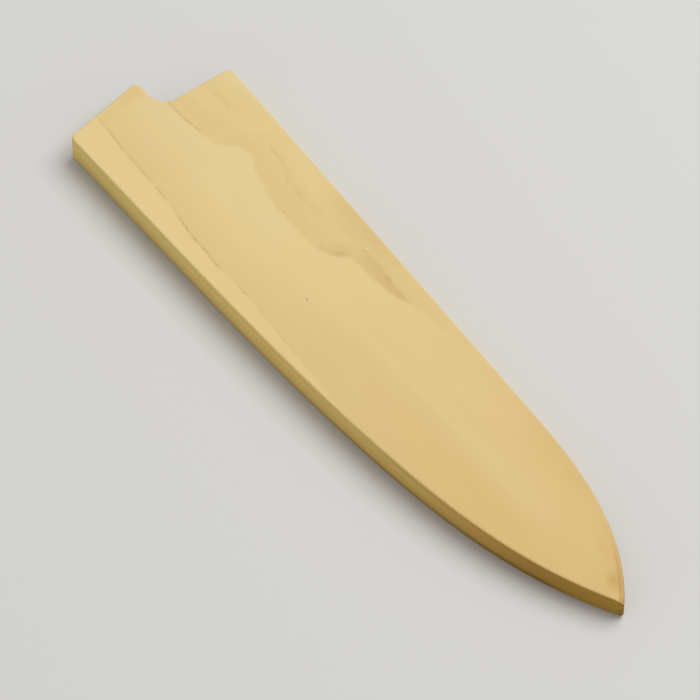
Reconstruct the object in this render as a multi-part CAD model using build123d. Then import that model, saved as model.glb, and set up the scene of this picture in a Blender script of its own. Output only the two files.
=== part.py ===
from build123d import *
import os

# A wooden blade guard for a chef's knife: two boards glued face to face round a thin blade pocket,
# with disc magnets let into the pocket's faces.
# +X runs from the mouth to the tip, +Y from the spine side to the cutting-edge side, +Z up.
# The origin is the middle of the footprint, on the bottom face. Lengths are in millimetres.

# Outline from above, before its corners are rounded
guard_length = 235.2
mouth_height = 54.1
spine_straight = 48.2
tip_rise = 26.4
belly_run = 65.9
belly_height = 46.6

# Control points of the two bowed sides, as shares of each curve's run along X and climb along Y
spine_start_share = 0.632
spine_end_shares = (0.82, 0.275)
belly_start_share = 0.24
belly_end_shares = (0.69, 0.09)

# Mouth: a tab on the spine side, a round inner corner and a set-back end on the edge side
tab_height = 28.3
tab_slant = 4.4
mouth_setback = 12.3
mouth_slant = 1.0
notch_radius = 6.2

# Boards: the upper one falls towards the tip, a little over the thinning run and faster at the nose
board_thickness = 5.3
thinning_run = 92.4
thinning_fall = 2.2
nose_run = 3.5
nose_fall = 2.3

# Softened edges: the mouth's corners are rounder than the base that runs round them
rim_softening = 0.65
base_softening = 1.5
corner_extra = 0.3
tip_corner = 0.6
rim_facing_share = 0.6

# Blade pocket, half of it in each board
pocket_wall = 4.5
pocket_tip_wall = 8.0
pocket_depth = 2.2

# Magnets in blind holes in each board
magnets_per_board = 3
magnet_radius = 4.0
magnet_thickness = 1.5
magnet_side_clearance = 0.1
magnet_recess = 0.2
magnet_first = 45.0
magnet_pitch = 55.0
magnet_rise = 22.0

overrun = 5.0


def edge_slope():
    """How fast the straight edge side comes in towards the spine, per length."""
    edge_run = guard_length - belly_run - mouth_setback - mouth_slant
    return (mouth_height - belly_height) / edge_run


def long_sides(start, wall, tip_wall):
    """The long sides, moved in by a wall: from x = start along the spine, round the tip and back."""
    tip = Vector(guard_length - tip_wall, tip_rise)
    shoulder_rise = edge_slope() * tip_wall - wall
    shoulder = tip + Vector(-belly_run, belly_height - tip_rise + shoulder_rise)
    spine_run = tip.X - spine_straight
    spine_climb = tip_rise - wall
    belly_drop = tip.Y - shoulder.Y
    spine_line = Line((start, wall), (spine_straight, wall))
    spine_bow = Bezier(
        (spine_straight, wall),
        (spine_straight + spine_start_share * spine_run, wall),
        (spine_straight + spine_end_shares[0] * spine_run, wall + spine_end_shares[1] * spine_climb),
        tip,
    )
    belly_lead = belly_start_share * belly_run
    belly = Bezier(
        tip,
        shoulder + Vector(belly_end_shares[0] * belly_run, belly_end_shares[1] * belly_drop),
        shoulder + Vector(belly_lead, -edge_slope() * belly_lead),
        shoulder,
    )
    edge_line = Line(shoulder, (start, shoulder.Y + edge_slope() * (shoulder.X - start)))
    return [spine_line, spine_bow, belly, edge_line]


def round_corner(face, x, y, radius):
    """Round the outline's corner nearest to a point."""
    return fillet(face.vertices().sort_by_distance((x, y, 0))[0], radius)


def guard_outline():
    """The guard's outline, with its tab, its notch and its rounded corners."""
    mouth_end = mouth_setback + mouth_slant
    sides = long_sides(mouth_end, 0, 0)
    mouth = Polyline(
        sides[-1] @ 1,
        (mouth_setback, tab_height),
        (0, tab_height),
        (tab_slant, 0),
        (mouth_end, 0),
    )
    face = make_face(sides + [mouth])
    face = round_corner(face, mouth_setback, tab_height, notch_radius)
    for x, y in ((mouth_end, mouth_height), (0, tab_height), (tab_slant, 0)):
        face = round_corner(face, x, y, base_softening + corner_extra)
    return round_corner(face, guard_length, tip_rise, tip_corner)


def pocket_outline():
    """The blade's space: the long sides inside the walls, running out through the mouth."""
    sides = long_sides(-overrun, pocket_wall, pocket_tip_wall)
    return make_face(sides + [Line(sides[-1] @ 1, sides[0] @ 0)])


def thinned_side():
    """Both boards' side view, swept across: level at first, then two arcs down to the tip."""
    full = 2 * board_thickness
    nose_start = guard_length - nose_run
    fall = TangentArc(
        (nose_start - thinning_run, 0, full),
        (nose_start, 0, full - thinning_fall),
        tangent=(1, 0, 0),
    )
    nose = TangentArc(fall @ 1, (guard_length, 0, (fall @ 1).Z - nose_fall), tangent=fall % 1)
    back = Polyline(nose @ 1, (guard_length, 0, 0), (-overrun, 0, 0), (-overrun, 0, full), fall @ 0)
    face = make_face([fall, nose, back])
    return extrude(face, mouth_height + overrun, dir=(0, 1, 0), both=True)


def magnet_places():
    """The magnets' centres in the boards' plane, from the mouth towards the tip."""
    return [(magnet_first + i * magnet_pitch, magnet_rise) for i in range(magnets_per_board)]


def magnet_floor():
    """The height of the lower board's magnet holes above its bottom face."""
    return board_thickness - pocket_depth - magnet_recess - magnet_thickness


def lower_hollows():
    """What is cut from the lower board: its half of the pocket and the magnet holes."""
    pocket = Pos(0, 0, board_thickness - pocket_depth) * extrude(pocket_outline(), pocket_depth + overrun)
    hollows = [pocket]
    for x, y in magnet_places():
        hole = Cylinder(
            magnet_radius + magnet_side_clearance,
            board_thickness - magnet_floor(),
            align=(Align.CENTER, Align.CENTER, Align.MIN),
        )
        hollows.append(Pos(x, y, magnet_floor()) * hole)
    return hollows


def soften_rim(board, outward, radius):
    """Round the edges round a board's outer side; a line between two faces of that side stays."""
    outer_faces = board.faces().filter_by(lambda face: face.normal_at().Z * outward > rim_facing_share)
    rim = [edge for face in outer_faces for edge in face.edges()]
    around = [edge for edge in rim if sum(edge.is_same(other) for other in rim) == 1]
    return fillet(around, radius)


def flipped(shape):
    """A piece of the lower board turned over onto the upper one, across the joint between them."""
    return mirror(shape, about=Plane.XY.offset(board_thickness))


def lower_board(outline):
    board = soften_rim(extrude(outline, board_thickness), -1, base_softening)
    for hollow in lower_hollows():
        board = board - hollow
    return board


def upper_board(outline):
    blank = Pos(0, 0, board_thickness) * extrude(outline, board_thickness)
    board = soften_rim(blank & thinned_side(), 1, rim_softening)
    for hollow in lower_hollows():
        board = board - flipped(hollow)
    return board


def lower_magnet(x, y):
    disc = Cylinder(magnet_radius, magnet_thickness, align=(Align.CENTER, Align.CENTER, Align.MIN))
    return Pos(x, y, magnet_floor()) * disc


def all_pieces():
    outline = guard_outline()
    pieces = {"lower_half": lower_board(outline), "upper_half": upper_board(outline)}
    for number, (x, y) in enumerate(magnet_places(), start=1):
        magnet = lower_magnet(x, y)
        pieces[f"lower_magnet_{number}"] = magnet
        pieces[f"upper_magnet_{number}"] = flipped(magnet)
    return pieces


def main():
    os.makedirs("parts", exist_ok=True)
    footprint = guard_outline().bounding_box().center()
    for name, piece in all_pieces().items():
        export_step(Pos(-footprint.X, -footprint.Y, 0) * piece, f"parts/{name}.step")


main()
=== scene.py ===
import math

import bmesh
import bpy
from mathutils import Euler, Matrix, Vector


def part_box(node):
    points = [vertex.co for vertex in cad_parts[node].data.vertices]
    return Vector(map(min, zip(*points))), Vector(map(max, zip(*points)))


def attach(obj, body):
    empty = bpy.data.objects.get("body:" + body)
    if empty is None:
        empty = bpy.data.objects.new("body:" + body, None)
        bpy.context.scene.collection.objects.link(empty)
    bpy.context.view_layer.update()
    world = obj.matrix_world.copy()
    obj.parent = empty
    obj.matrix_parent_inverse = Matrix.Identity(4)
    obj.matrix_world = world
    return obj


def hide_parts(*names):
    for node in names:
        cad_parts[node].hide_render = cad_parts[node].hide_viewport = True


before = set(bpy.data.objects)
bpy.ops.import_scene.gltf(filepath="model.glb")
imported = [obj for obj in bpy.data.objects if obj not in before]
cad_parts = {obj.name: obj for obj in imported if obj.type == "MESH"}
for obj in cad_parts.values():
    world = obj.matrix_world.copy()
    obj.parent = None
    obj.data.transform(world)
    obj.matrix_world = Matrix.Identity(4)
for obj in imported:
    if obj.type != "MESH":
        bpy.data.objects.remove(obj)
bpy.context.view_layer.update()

# Materials measure in millimetres from the corner where the mouth's tab meets the spine side:
# x towards the tip, y towards the cutting-edge side, z up from the bottom face
MM_PER_METRE = 1000.0
CORNER = (-117.237, -27.207, 0.0)
LENGTH = 235.0
WIDTH = 60.0
TOP = 10.6
JOINT = 5.3

# The top face falls along this parabola towards the tip
FALL_START = 139.0
FALL_RUN = 92.4
FALL = 2.2

# Marks on an outer face fade out between these depths under it
MARK_DEPTH = 4.0
NO_MARK_DEPTH = 5.0

# Grain lines on a board's face: height at x, then how dark the line is drawn at x
LOWER_LINE = (
    (0, 11.0), (8, 10.8), (18, 9.8), (30, 9.5), (41, 8.8), (52, 7.4), (60, 6.7), (69, 6.2),
    (80, 6.4), (90, 6.2), (100, 5.4), (116, 4.3), (130, 3.2), (160, 2.0), (235, 0.0),
)
LOWER_DARKNESS = (
    (0, 0.2), (7, 0.35), (12, 0.9), (16, 0.5), (26, 0.5), (30, 0.85), (34, 0.45), (38, 0.6),
    (44, 0.3), (48, 0.9), (56, 0.8), (63, 0.95), (69, 0.9), (72, 0.25), (78, 0.15), (82, 0.75),
    (85, 0.15), (90, 0.45), (96, 0.25), (103, 0.6), (109, 0.2), (125, 0.05), (160, 0.0),
)
UPPER_LINE = (
    (0, 32.0), (12, 31.3), (18, 31.4), (24, 32.2), (33, 33.2), (42, 38.6), (47, 37.0),
    (55, 34.9), (63, 33.7), (71, 32.8), (78, 33.1), (84, 34.2), (88, 36.0), (92, 38.9),
    (98, 39.5), (106, 39.9), (111, 40.7), (116, 42.6), (130, 44.0), (235, 47.0),
)
UPPER_DARKNESS = (
    (0, 0.4), (12, 0.6), (18, 1.0), (24, 0.9), (27, 0.45), (33, 0.25), (40, 0.05), (50, 0.2),
    (58, 0.25), (66, 0.3), (72, 0.05), (78, 0.2), (86, 0.2), (90, 0.2), (96, 0.1), (110, 0.15),
    (115, 0.3), (119, 0.0), (160, 0.0),
)
VEIN_LINE = (
    (30, 45.8), (45, 45.4), (50, 44.9), (54, 44.0), (58, 42.3), (62, 41.6), (67, 41.3),
    (73, 42.4), (80, 44.0), (93, 44.2), (103, 43.6), (115, 42.8), (160, 42.0),
)
VEIN_DARKNESS = (
    (30, 0.0), (42, 0.0), (46, 0.8), (53, 0.9), (58, 0.55), (63, 0.6), (68, 0.4), (74, 0.3),
    (82, 0.35), (92, 0.6), (100, 0.5), (112, 0.3), (119, 0.0), (160, 0.0),
)
MOUTH_LINE = ((0, 43.6), (15, 44.2), (25, 45.1), (60, 47.0))
MOUTH_DARKNESS = ((0, 0.0), (11, 0.0), (16, 0.8), (22, 1.0), (27, 0.2), (31, 0.0), (60, 0.0))

# The cutting-edge side's rim near the tip
FAR_RIM = (
    (195, 44.4), (200.5, 43.1), (207.7, 41.2), (215, 38.7), (222, 35.5), (228.8, 31.4),
    (235, 26.4),
)


def srgb(red, green, blue):
    """A colour given as 0 to 255 values, for a shader socket."""

    def linear(value):
        share = value / 255
        return share / 12.92 if share <= 0.04045 else ((share + 0.055) / 1.055) ** 2.4

    return (linear(red), linear(green), linear(blue), 1.0)


# Marks on the upper face: centre, half sizes along and across, slope, strength and colour
UPPER_MARKS = (
    # The brown smear over the upper line
    ((88.9, 37.5), 3.2, 1.5, 0.95, 0.38, srgb(186, 148, 84)),
    ((87.6, 39.2), 3.4, 2.0, 0.6, 0.22, srgb(196, 162, 98)),
    ((85.0, 34.9), 3.2, 0.9, 0.3, 0.24, srgb(192, 156, 92)),
    # Mineral flecks, the last one pale
    ((95.7, 19.6), 0.45, 0.3, 0.0, 0.6, srgb(136, 100, 54)),
    ((66.3, 33.7), 1.0, 0.5, 0.0, 0.14, srgb(160, 122, 66)),
    ((104.7, 43.3), 1.1, 0.5, 0.0, 0.22, srgb(146, 112, 62)),
    ((92.4, 44.0), 0.5, 0.3, 0.0, 0.25, srgb(150, 118, 70)),
    ((92.1, 44.8), 0.35, 0.3, 0.0, 0.45, srgb(240, 226, 186)),
    # Stains where the tip and the tab's end are handled
    ((227.2, 29.0), 3.6, 2.3, -0.6, 0.6, srgb(188, 148, 82)),
    ((217.5, 33.6), 7.0, 2.6, -0.45, 0.34, srgb(204, 166, 100)),
    ((226.0, 24.4), 5.0, 3.0, 0.4, 0.2, srgb(204, 166, 100)),
    ((2.6, 24.0), 2.6, 4.6, 0.1, 0.35, srgb(222, 178, 112)),
)


class Tree:
    """A material's node tree, with short names for the nodes that this scene needs."""

    def __init__(self, name):
        self.material = bpy.data.materials.new(name)
        self.material.use_nodes = True
        self.nodes = self.material.node_tree.nodes
        self.links = self.material.node_tree.links
        self.nodes.clear()
        self.output = self.nodes.new("ShaderNodeOutputMaterial")
        self.shader = self.nodes.new("ShaderNodeBsdfPrincipled")
        self.links.new(self.shader.outputs["BSDF"], self.output.inputs["Surface"])

    def put(self, socket, value):
        if isinstance(value, bpy.types.NodeSocket):
            self.links.new(value, socket)
        elif value is not None:
            socket.default_value = value

    def math(self, operation, *values):
        node = self.nodes.new("ShaderNodeMath")
        node.operation = operation
        for socket, value in zip(node.inputs, values):
            self.put(socket, value)
        return node.outputs[0]

    def add(self, first, *others):
        for value in others:
            first = self.math("ADD", first, value)
        return first

    def sub(self, a, b):
        return self.math("SUBTRACT", a, b)

    def mul(self, first, *others):
        for value in others:
            first = self.math("MULTIPLY", first, value)
        return first

    def div(self, a, b):
        return self.math("DIVIDE", a, b)

    def size(self, value):
        return self.math("ABSOLUTE", value)

    def positive(self, value):
        return self.math("MAXIMUM", value, 0.0)

    def falloff(self, value):
        """1 where value is 0, and smaller as it grows."""
        return self.math("EXPONENT", self.mul(value, -1.0))

    def bell(self, distance, width):
        """1 where distance is 0, falling smoothly to 0 over a few widths."""
        scaled = self.div(distance, width)
        return self.falloff(self.mul(scaled, scaled))

    def ramp(self, value, low, high, to_low=0.0, to_high=1.0):
        """A smooth step: to_low at low, to_high at high, and level beyond either."""
        node = self.nodes.new("ShaderNodeMapRange")
        node.interpolation_type = "SMOOTHSTEP"
        names = ("Value", "From Min", "From Max", "To Min", "To Max")
        for name, given in zip(names, (value, low, high, to_low, to_high)):
            self.put(node.inputs[name], given)
        return node.outputs["Result"]

    def window(self, value, start, full, still_full, end):
        """1 between full and still_full, with smooth steps from 0 at start and to 0 at end."""
        return self.mul(self.ramp(value, start, full), self.ramp(value, end, still_full))

    def combine(self, x, y, z):
        node = self.nodes.new("ShaderNodeCombineXYZ")
        for socket, value in zip(node.inputs, (x, y, z)):
            self.put(socket, value)
        return node.outputs[0]

    def noise(self, a, b, c, detail=2.0, roughness=0.5):
        """Noise from 0 to 1 at the place (a, b, c), with one feature per unit."""
        node = self.nodes.new("ShaderNodeTexNoise")
        self.put(node.inputs["Vector"], self.combine(a, b, c))
        for name, value in (("Scale", 1.0), ("Detail", detail), ("Roughness", roughness)):
            node.inputs[name].default_value = value
        return node.outputs["Fac"]

    def swing(self, noise, amount):
        """Noise centred on 0, times an amount."""
        return self.mul(self.sub(noise, 0.5), amount)

    def curve(self, x, points, height=WIDTH):
        """The height at x of a line through points (x, y), x in millimetres, y up to height."""
        node = self.nodes.new("ShaderNodeFloatCurve")
        line = node.mapping.curves[0]
        while len(line.points) < len(points):
            line.points.new(0.5, 0.5)
        for point, (px, py) in zip(line.points, points):
            point.location = (px / LENGTH, py / height)
            point.handle_type = "AUTO"
        node.mapping.use_clip = False
        node.mapping.extend = "EXTRAPOLATED"
        node.mapping.update()
        self.put(node.inputs["Value"], self.div(x, LENGTH))
        return self.mul(node.outputs["Value"], height)

    def mix(self, factor, a, b, blend="MIX"):
        node = self.nodes.new("ShaderNodeMix")
        node.data_type = "RGBA"
        node.blend_type = blend
        node.clamp_factor = True
        for name, value in (("Factor_Float", factor), ("A_Color", a), ("B_Color", b)):
            socket = next(s for s in node.inputs if s.identifier == name)
            self.put(socket, value)
        return next(s for s in node.outputs if s.identifier == "Result_Color")

    def bump(self, height, metres, normal=None):
        """The normal of a relief that is metres high for a height of 1, laid over another normal."""
        node = self.nodes.new("ShaderNodeBump")
        node.inputs["Strength"].default_value = 1.0
        node.inputs["Distance"].default_value = metres
        self.put(node.inputs["Height"], height)
        self.put(node.inputs["Normal"], normal)
        return node.outputs["Normal"]

    def place(self):
        """The point on the surface in millimetres from the corner, and the surface's normal."""
        coordinates = self.nodes.new("ShaderNodeTexCoord")
        where = self.nodes.new("ShaderNodeSeparateXYZ")
        facing = self.nodes.new("ShaderNodeSeparateXYZ")
        self.links.new(coordinates.outputs["Object"], where.inputs[0])
        self.links.new(coordinates.outputs["Normal"], facing.inputs[0])
        point = [
            self.math("MULTIPLY_ADD", where.outputs[i], MM_PER_METRE, -CORNER[i]) for i in range(3)
        ]
        return point, [facing.outputs[i] for i in range(3)]


class Wood(Tree):
    """A board's wood, whose grain lines lean sideways as they go down from its outer face.

    The outer face is at the height outer. The lines are moved by shift, and shade lightens the
    wood. self.colour is worked up step by step.
    """

    def __init__(self, name, outer, lean, shift, seed, shade=0.0, marks=()):
        super().__init__(name)
        (self.x, self.y, self.z), (nx, _, nz) = self.place()
        self.seed = seed
        depth = self.size(self.sub(self.z, outer))
        self.near_face = self.ramp(depth, NO_MARK_DEPTH, MARK_DEPTH)
        self.level = self.size(nz)
        self.side = self.ramp(self.level, 0.92, 0.15)
        self.end_grain = self.mul(
            self.ramp(self.size(nx), 0.0, 0.42), self.ramp(self.level, 0.85, 0.3)
        )
        self.draw_lines(shift, self.mul(depth, lean))
        self.make_noises()
        self.lay_base()
        self.draw_strokes()
        for mark in marks:
            self.draw_mark(*mark)
        self.paint_tip_rim_shade()
        self.vary(shade)
        self.darken_edges()
        self.cut_seam_and_pocket()
        self.finish_surface()

    def overlay(self, amount, colour):
        self.colour = self.mix(amount, self.colour, colour)

    def tint(self, amount, *multipliers):
        """Multiply the colour by the given red, green and blue, as far as amount says."""
        self.colour = self.mix(amount, self.colour, (*multipliers, 1.0), "MULTIPLY")

    def draw_lines(self, shift, leaning):
        """The grain lines' heights, and how far above each one a point lies."""
        x, y = self.x, self.y
        self.along = self.add(x, shift[0])
        bends = self.noise(self.mul(x, 0.16), self.mul(y, 0.3), self.seed + 8.7)
        jags = self.noise(self.mul(x, 0.75), self.mul(y, 0.9), self.seed + 5.2)
        straight = self.sub(self.add(y, shift[1]), leaning)
        self.across = self.add(straight, self.swing(bends, 1.3), self.swing(jags, 0.7))
        lower_line = self.curve(self.along, LOWER_LINE)
        upper_line = self.curve(self.along, UPPER_LINE)
        self.above_lower = self.sub(self.across, lower_line)
        self.above_upper = self.sub(self.across, upper_line)
        self.above_vein = self.sub(self.across, self.curve(self.along, VEIN_LINE))
        self.above_mouth_line = self.sub(self.across, self.curve(self.along, MOUTH_LINE))
        self.between = self.div(self.above_lower, self.sub(upper_line, lower_line))

    def make_noises(self):
        """Broad bands that follow the lower and upper lines, then finer streaks and fibres."""
        x, y, z, between = self.x, self.y, self.z, self.between
        mul, noise = self.mul, self.noise
        self.broad = noise(mul(x, 0.012), mul(between, 3.2), self.seed, 2.0, 0.45)
        self.streak = noise(mul(x, 0.022), mul(between, 16.0), self.seed + 1.3, 3.0, 0.6)
        self.cloud = noise(mul(x, 0.05), mul(y, 0.09), mul(z, 0.1), 3.0, 0.55)
        self.fibre = noise(mul(x, 0.10), mul(self.across, 2.6), mul(z, 2.6), 4.0, 0.7)
        self.hair = noise(mul(x, 0.35), mul(y, 9.0), mul(z, 9.0), 3.0, 0.65)
        self.wander = noise(mul(x, 0.03), mul(y, 0.05), self.seed + 3.1, 1.0)

    def lay_base(self):
        x, y = self.x, self.y
        # Pale near the mouth, warmer towards the tip
        tipward = self.ramp(x, 40.0, 235.0)
        self.colour = self.mix(tipward, srgb(229, 205, 146), srgb(220, 188, 124))
        pink = self.mix(tipward, srgb(217, 189, 127), srgb(213, 178, 111))

        # Paler wood below the lower line, pinker wood above it that clears towards the middle
        over = self.ramp(self.above_lower, -0.25, 0.5)
        fade = self.falloff(self.mul(self.positive(self.above_lower), 0.075))
        self.overlay(self.mul(over, fade, self.ramp(self.broad, 0.2, 0.8, 0.45, 0.85)), pink)
        self.tint(self.sub(1.0, over), 1.0, 0.975, 0.94)
        rosy = self.mul(self.bell(self.sub(y, 16.0), 7.0), self.window(x, 85.0, 125.0, 185.0, 222.0))
        self.tint(rosy, 0.98, 0.965, 0.925)

        # Darker ochre beyond the upper line, and along the far side near the middle
        beyond = self.ramp(self.above_upper, -0.3, 0.9)
        fade = self.falloff(self.mul(self.positive(self.above_upper), 0.05))
        amount = self.mul(beyond, fade, self.ramp(self.along, 150.0, 105.0))
        amount = self.mul(amount, self.ramp(self.cloud, 0.25, 0.75, 0.32, 0.62))
        self.overlay(amount, srgb(214, 184, 118))
        far_band = self.mul(self.ramp(y, 43.5, 48.0), self.window(x, 62.0, 80.0, 96.0, 112.0))
        self.overlay(self.mul(far_band, 0.45), srgb(212, 180, 112))

        # A paler band along the middle of the tip half, and a darker one along its far edge
        middle = self.mul(
            self.bell(self.sub(y, 27.0), 4.5), self.window(x, 105.0, 140.0, 185.0, 212.0)
        )
        self.overlay(self.mul(middle, 0.35), srgb(227, 203, 146))
        far_edge = self.mul(self.ramp(y, 33.0, 45.0), self.window(x, 150.0, 195.0, 215.0, 235.0))
        self.overlay(self.mul(far_edge, 0.65), srgb(212, 180, 116))

    def stroke(self, distance, width, strength, darkness, dark):
        """A thin late-wood line, broken up a little, and darker where it is drawn so."""
        breaks = self.noise(self.mul(self.x, 0.45), self.seed + width * 7.0, 0.0)
        level = self.positive(self.curve(self.along, darkness, 1.0))
        broken = self.ramp(breaks, 0.3, 0.65, 0.45, 1.0)
        self.overlay(self.mul(self.bell(distance, width), level, broken, strength), dark)

    def draw_strokes(self):
        dark, soft = srgb(186, 152, 88), srgb(192, 156, 92)
        self.stroke(self.above_lower, 0.36, 0.75, LOWER_DARKNESS, dark)
        self.stroke(self.above_upper, 0.42, 0.7, UPPER_DARKNESS, dark)
        self.stroke(self.above_vein, 0.75, 0.28, VEIN_DARKNESS, soft)
        self.stroke(self.above_mouth_line, 0.6, 0.20, MOUTH_DARKNESS, soft)

        # A darker patch between the upper line and the vein, where they close on each other
        patch = self.mul(
            self.ramp(self.above_upper, -0.3, 0.7),
            self.ramp(self.above_vein, 0.5, -0.7),
            self.ramp(self.above_vein, -3.6, -0.6, 0.6, 1.0),
            self.window(self.along, 90.0, 97.0, 114.0, 118.0),
            self.ramp(self.along, 92.0, 112.0, 0.32, 0.52),
        )
        self.overlay(patch, srgb(200, 166, 102))

    def draw_mark(self, centre, half_length, half_width, slope, strength, colour):
        dx, dy = self.sub(self.x, centre[0]), self.sub(self.y, centre[1])
        along = self.div(self.add(dx, self.mul(dy, slope)), half_length)
        across = self.div(self.sub(dy, self.mul(dx, slope)), half_width)
        amount = self.falloff(self.add(self.mul(along, along), self.mul(across, across)))
        self.overlay(self.mul(amount, strength, self.near_face), colour)

    def paint_tip_rim_shade(self):
        """Painted shade: a browner band along the far edge near the tip, where its rounding turns
        from the light, with a thin darker line of painted shade inside it.
        """
        slant = 0.85
        inward = self.mul(self.sub(self.curve(self.x, FAR_RIM), self.y), slant)
        rim_shade_band = self.mul(self.ramp(inward, 1.8, 1.0), self.ramp(self.x, 207.0, 229.0, 0.0, 0.58))
        self.overlay(self.mul(rim_shade_band, self.near_face), srgb(190, 150, 80))
        line = self.bell(self.sub(inward, 1.4), 0.45)
        line = self.mul(line, self.ramp(self.x, 216.0, 227.0, 0.0, 0.35))
        self.overlay(self.mul(line, self.near_face), srgb(172, 128, 62))

    def vary(self, shade):
        """The noises, and growth rings: faint on the faces, plain on the end grain."""
        wandering = self.mul(self.add(self.across, self.mul(self.wander, 9.0)), 3.3)
        self.ring = self.math("SINE", self.add(wandering, self.mul(self.streak, 3.0)))
        ring_dark = self.mul(
            self.ramp(self.ring, 0.1, 1.0), self.ramp(self.end_grain, 0.0, 1.0, 0.005, 0.075)
        )
        tone = self.add(
            self.swing(self.broad, 0.10),
            self.swing(self.streak, 0.045),
            self.swing(self.fibre, 0.028),
            self.swing(self.hair, 0.04),
            self.swing(self.cloud, 0.035),
            1.0 + shade,
        )
        tone = self.sub(tone, ring_dark)
        # Darker wood is more saturated: green and blue fall faster than red
        green, blue = self.math("POWER", tone, 1.15), self.math("POWER", tone, 1.6)
        self.colour = self.mix(1.0, self.colour, self.combine(tone, green, blue), "MULTIPLY")

    def darken_edges(self):
        """Wood cut across its fibres is darker. The sides get painted shade: a warmer shaded tone,
        and darkening towards the base.
        """
        x, z = self.x, self.z
        # Painted shade: the sides take a warmer, more saturated tone, as their shaded faces show
        self.tint(self.side, 1.0, 0.95, 0.61)
        cut = self.mix(self.ramp(x, 15.0, 60.0), (0.92, 0.74, 0.46, 1.0), (0.57, 0.45, 0.205, 1.0))
        cut = self.mix(self.ramp(x, 205.0, 224.0), cut, (0.61, 0.51, 0.25, 1.0))
        self.colour = self.mix(self.end_grain, self.colour, cut, "MULTIPLY")

        fallen = self.div(self.positive(self.sub(x, FALL_START)), FALL_RUN)
        rim = self.sub(TOP, self.mul(fallen, fallen, FALL))
        under_rim = self.bell(self.sub(self.sub(rim, z), 1.1), 0.7)
        under_rim = self.mul(under_rim, self.ramp(x, 140.0, 170.0))
        under_rim = self.mul(under_rim, self.ramp(x, 222.0, 195.0, 0.3, 1.0), self.side)
        self.tint(self.mul(under_rim, 0.8), 0.88, 0.86, 0.80)

        # Painted shade: the sides darken towards the base, for the shade close to the floor
        painted_base_shade = self.mul(self.ramp(z, 5.2, 0.6), self.side, self.ramp(x, 3.0, 12.0, 0.3, 1.0))
        self.tint(self.mul(painted_base_shade, self.ramp(x, 208.0, 222.0, 1.0, 0.4)), 0.68, 0.67, 0.74)
        # Painted shade: the base of the tip half's sides darker still, for the shadowed gap under
        # them
        painted_gap_shade = self.mul(self.ramp(z, 3.4, 1.2), self.side)
        self.tint(self.mul(painted_gap_shade, self.window(x, 95.0, 150.0, 210.0, 226.0)), 0.70, 0.66, 0.62)

    def cut_seam_and_pocket(self):
        """The hairline where the boards meet, and the milled floor of the pocket."""
        self.seam = self.mul(self.bell(self.sub(self.z, JOINT), 0.07), self.side)
        self.overlay(self.mul(self.seam, 0.28), srgb(120, 90, 48))

        inside = self.ramp(self.size(self.sub(self.z, JOINT)), 2.6, 2.3)
        milled = self.mul(inside, self.ramp(self.level, 0.4, 0.8))
        pivot_x, pivot_y = 300.0, 22.0
        arc_x, arc_y = self.sub(self.x, pivot_x), self.sub(self.y, pivot_y)
        reach = self.math("SQRT", self.add(self.mul(arc_x, arc_x), self.mul(arc_y, arc_y)))
        arcs = self.math("SINE", self.mul(self.add(reach, self.mul(self.wander, 2.0)), 3.5))
        self.overlay(self.mul(milled, self.ramp(arcs, -1.0, 1.0, 0.32, 0.44)), srgb(196, 162, 100))
        self.cutter_marks = self.mul(arcs, milled)

    def finish_surface(self):
        inputs = self.shader.inputs
        self.put(inputs["Base Color"], self.colour)
        rough = self.add(self.swing(self.fibre, 0.14), self.swing(self.hair, 0.10), 0.60)
        self.put(inputs["Roughness"], self.add(rough, self.mul(self.end_grain, 0.12)))
        inputs["Specular IOR Level"].default_value = 0.3
        relief = self.add(
            self.mul(self.fibre, 0.6), self.mul(self.hair, 0.4), self.mul(self.ring, 0.10)
        )
        surface = self.bump(relief, 0.00002)
        surface = self.bump(self.mul(self.seam, -1.0), 0.00008, surface)
        surface = self.bump(self.cutter_marks, 0.00001, surface)
        self.put(inputs["Normal"], surface)


def nickel():
    """Bright nickel plate with fine scuffs and a faint orange-peel."""
    t = Tree("magnet_nickel")
    (x, y, z), _ = t.place()
    scuff = t.noise(t.mul(x, 0.9), t.mul(y, 5.0), z, 4.0, 0.7)
    peel = t.noise(t.mul(x, 3.0), t.mul(y, 3.0), t.mul(z, 3.0))
    colour = t.mix(t.ramp(scuff, 0.35, 0.75), srgb(205, 203, 198), srgb(181, 178, 172))
    t.put(t.shader.inputs["Base Color"], colour)
    t.shader.inputs["Metallic"].default_value = 1.0
    t.put(t.shader.inputs["Roughness"], t.ramp(scuff, 0.3, 0.8, 0.20, 0.42))
    t.put(t.shader.inputs["Normal"], t.bump(t.add(peel, t.mul(scuff, 0.5)), 0.00001))
    return t.material


def paint(node, material):
    """Give a CAD node's object the material, in each of its slots."""
    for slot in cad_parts[node].material_slots:
        slot.link = "OBJECT"
        slot.material = material


def disc_profile(radius, reach):
    """Half the section of a disc, from its top's middle to its bottom's, in metres."""
    roll, steps, dish = 0.00022, 6, 0.00001
    profile = [(0.0, reach - dish), (radius * 0.45, reach), (radius - roll, reach)]
    for step in range(1, steps + 1):
        angle = math.pi / 2 * step / steps
        out, down = roll * math.sin(angle), roll * math.cos(angle)
        profile.append((radius - roll + out, reach - roll + down))
    return profile + [(r, -h) for r, h in reversed(profile)]


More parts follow.
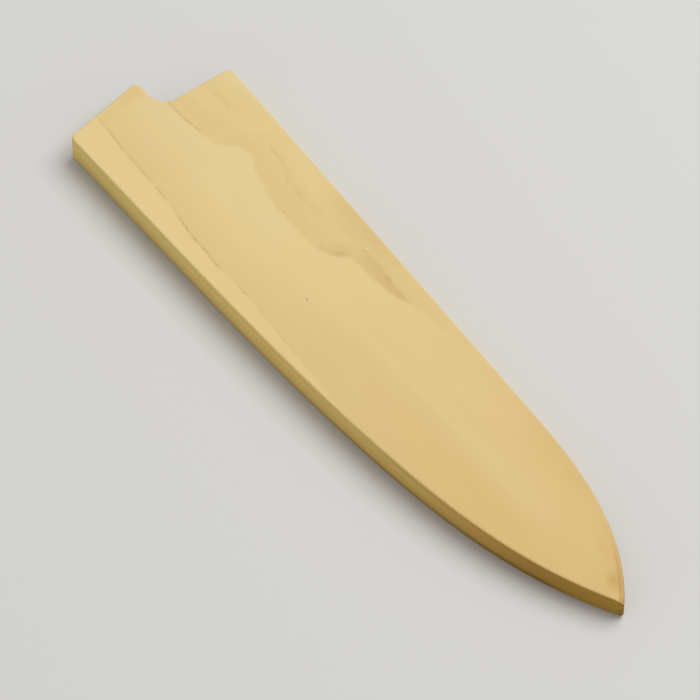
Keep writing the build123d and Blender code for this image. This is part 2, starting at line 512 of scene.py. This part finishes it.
def lathe(name, profile, centre, around=96):
    """A mesh made by turning a profile about the upright line through a point."""
    mesh = bmesh.new()
    turn = [2 * math.pi * i / around for i in range(around)]
    rows = []
    for r, h in profile:
        if r == 0.0:
            rows.append([mesh.verts.new((0.0, 0.0, h))])
        else:
            rows.append([mesh.verts.new((r * math.cos(a), r * math.sin(a), h)) for a in turn])
    for upper, lower in zip(rows, rows[1:]):
        for i in range(around):
            corners = [upper[i % len(upper)], lower[i % len(lower)]]
            j = (i + 1) % around
            corners += [lower[j % len(lower)], upper[j % len(upper)]]
            mesh.faces.new(list(dict.fromkeys(corners)))
    bmesh.ops.recalc_face_normals(mesh, faces=mesh.faces)
    data = bpy.data.meshes.new(name)
    mesh.to_mesh(data)
    mesh.free()
    for polygon in data.polygons:
        polygon.use_smooth = True
    for vertex in data.vertices:
        vertex.co += centre
    return data


def magnet(node, material):
    """A disc magnet with rolled rims, in the place of its plain CAD solid."""
    low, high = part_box(node)
    half = (high - low) / 2
    name = node + "_disc"
    data = lathe(name, disc_profile(half.x, half.z), (low + high) / 2)
    data.materials.append(material)
    obj = bpy.data.objects.new(name, data)
    bpy.context.collection.objects.link(obj)
    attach(obj, "root")
    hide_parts(node)


upper_wood = Wood("upper_wood", TOP, 1.3, (0.0, 0.0), 4.0, marks=UPPER_MARKS)
lower_wood = Wood("lower_wood", 0.0, -1.1, (-14.0, -6.5), 11.0, shade=-0.02)
paint("upper_half", upper_wood.material)
paint("lower_half", lower_wood.material)
plated = nickel()
for side_name in ("upper", "lower"):
    for number in (1, 2, 3):
        magnet(f"{side_name}_magnet_{number}", plated)

# Floor, just under the bottom face so that the two don't share a plane
floor_half, floor_drop = 6.0, 0.00003
floor_turns = ((-1, -1), (1, -1), (1, 1), (-1, 1))
floor_corners = [(i * floor_half, j * floor_half, -floor_drop) for i, j in floor_turns]
floor_mesh = bpy.data.meshes.new("floor")
floor_mesh.from_pydata(floor_corners, [], [(0, 1, 2, 3)])
floor = bpy.data.objects.new("floor", floor_mesh)
bpy.context.collection.objects.link(floor)
ground = Tree("floor_paper")
ground.shader.inputs["Base Color"].default_value = srgb(215, 214, 211)
ground.shader.inputs["Roughness"].default_value = 0.9
ground.shader.inputs["Specular IOR Level"].default_value = 0.1
floor_mesh.materials.append(ground.material)

# Soft studio light: an even sky, a large soft lamp high up behind the cutting-edge side, and a
# faint low one before the spine side
world = bpy.data.worlds.new("studio")
bpy.context.scene.world = world
world.use_nodes = True
sky = world.node_tree.nodes["Background"]
sky.inputs["Color"].default_value = (1.0, 1.0, 1.0, 1.0)
sky.inputs["Strength"].default_value = 0.44


def lamp(name, direction, size, watts, distance=2.0):
    """A round white lamp that faces the origin."""
    data = bpy.data.lights.new(name, "AREA")
    data.shape = "DISK"
    data.size = size
    data.energy = watts
    obj = bpy.data.objects.new(name, data)
    bpy.context.collection.objects.link(obj)
    obj.location = Vector(direction).normalized() * distance
    obj.rotation_euler = (-obj.location).to_track_quat("-Z", "Y").to_euler()


lamp("key", (0.08, 0.49, 0.87), size=1.8, watts=29.7)
lamp("fill", (0.0, -0.985, 0.174), size=0.6, watts=2.6)

# Camera at the photograph's angle
camera_data = bpy.data.cameras.new("camera")
camera_data.sensor_width = 36.0
camera_data.lens = 308.57
camera_data.clip_start, camera_data.clip_end = 0.05, 50.0
camera = bpy.data.objects.new("camera", camera_data)
bpy.context.collection.objects.link(camera)
camera.location = (0.791476, -0.630247, 1.46589)
camera.rotation_euler = Euler((math.radians(34.6456), 0.0, math.radians(51.8402)))
bpy.context.scene.camera = camera
bpy.context.scene.view_settings.view_transform = "Standard"
